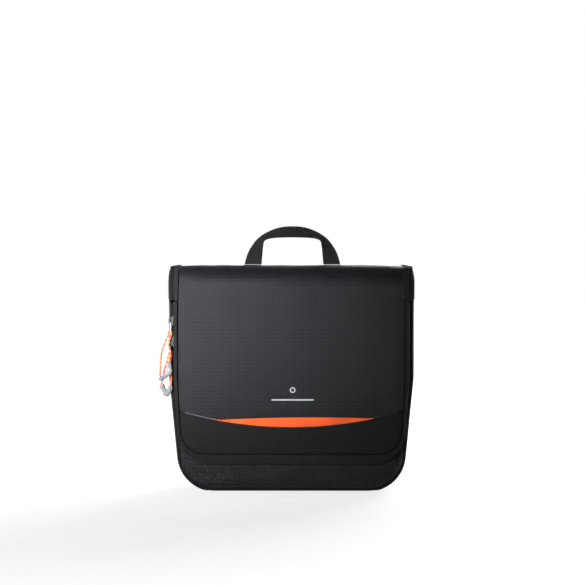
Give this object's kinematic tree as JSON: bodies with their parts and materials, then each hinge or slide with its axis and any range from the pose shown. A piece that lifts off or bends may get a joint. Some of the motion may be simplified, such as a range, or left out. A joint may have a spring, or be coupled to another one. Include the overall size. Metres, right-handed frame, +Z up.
{
  "type": "hanging toiletry bag",
  "caption": "Soft rectangular toiletry bag with rounded lower corners, a padded zip lid that folds up, a top carry handle and a flip-up hanging hook.",
  "frame": {"origin": "centre of the bag's box at its bottom, on the surface it stands on", "axes": "+Z up, +X to the right seen from the lid, -Y out of the lid"},
  "size_m": [0.2763, 0.0778, 0.29],
  "materials": {
    "ripstop": "black ripstop nylon with a fine lighter grid",
    "plain_weave": "near-black plain woven polyester",
    "lining": "thin grey lining cloth",
    "foam": "soft closed-cell foam, hidden",
    "binding": "ribbed grosgrain binding tape",
    "webbing": "ribbed polyester webbing",
    "accent": "bright orange woven cloth",
    "mesh": "open knitted mesh",
    "elastic": "ribbed elastic",
    "thread": "dense bar-tack thread",
    "zip_tape": "black woven zipper tape",
    "zip_teeth": "black moulded coil",
    "slider_metal": "satin black enamel",
    "pull_cord": "braided orange cord with pale flecks",
    "pull_grip": "grey moulded grip",
    "hook_plastic": "black moulded plastic",
    "print": "pale grey print"
  },
  "bodies": {
    "root": {"gusset": "ripstop", "back_binding": "binding", "back_panel": "plain_weave", "back_foam": "foam", "back_lining": "lining", "front_binding": "binding", "front_panel": "ripstop", "bottom_stiffener": "foam", "top_panel": "ripstop", "top_strip_left": "binding", "top_strip_right": "binding", "body_zip_tape": "zip_tape", "body_zip_teeth": "zip_teeth", "zip_stops": "zip_teeth", "back_mesh_pocket": "mesh", "back_pocket_elastic": "elastic", "holding_band": "elastic", "band_bar_tacks": "thread", "handle_patches": "webbing", "hook_webbing_tab": "webbing"},
    "lid": {"lid_binding": "binding", "lid_lining": "lining", "lid_foam": "foam", "lid_upper_panel": "ripstop", "lid_lower_panel": "plain_weave", "lid_accent": "accent", "lid_zip_tape": "zip_tape", "lid_zip_teeth": "zip_teeth", "lid_mesh_pocket": "mesh", "lid_pocket_elastic": "elastic", "lid_mark": "print"},
    "handle": {"handle_webbing": "webbing"},
    "hook": {"hanging_hook": "hook_plastic"},
    "slider_upper": {"slider_upper": "slider_metal"},
    "slider_lower": {"slider_lower": "slider_metal"},
    "pull_upper": {"pull_tab_upper": "slider_metal", "pull_cord_upper": "pull_cord", "pull_grip_upper": "pull_grip"},
    "pull_lower": {"pull_tab_lower": "slider_metal", "pull_cord_lower": "pull_cord", "pull_grip_lower": "pull_grip"}
  },
  "joints": [
    {"name": "lid_hinge", "type": "hinge", "parent": "root", "child": "lid", "pos_m": [0, -0.0378, 0.208], "axis": [-1, 0, 0], "range_deg": [0, 165]},
    {"name": "handle_fold", "type": "hinge", "parent": "root", "child": "handle", "pos_m": [0.001, 0.022, 0.2476], "axis": [1, 0, 0], "range_deg": [-80, 80]},
    {"name": "hook_flip", "type": "hinge", "parent": "root", "child": "hook", "pos_m": [0, 0.0374, 0.24], "axis": [1, 0, 0], "range_deg": [0, 180]},
    {"name": "slider_upper_run", "type": "slide", "parent": "root", "child": "slider_upper", "axis": [0, 0, 1], "range_m": [-0.005, 0.0045]},
    {"name": "slider_lower_run", "type": "slide", "parent": "root", "child": "slider_lower", "axis": [0, 0, 1], "range_m": [-0.034, 0.005]},
    {"name": "pull_upper_swing", "type": "hinge", "parent": "slider_upper", "child": "pull_upper", "pos_m": [-0.1315, -0.0324, 0.1842], "axis": [0, 1, 0], "range_deg": [0, 120]},
    {"name": "pull_lower_swing", "type": "hinge", "parent": "slider_lower", "child": "pull_lower", "pos_m": [-0.1315, -0.029, 0.1619], "axis": [0, 1, 0], "range_deg": [0, 120]}
  ]
}
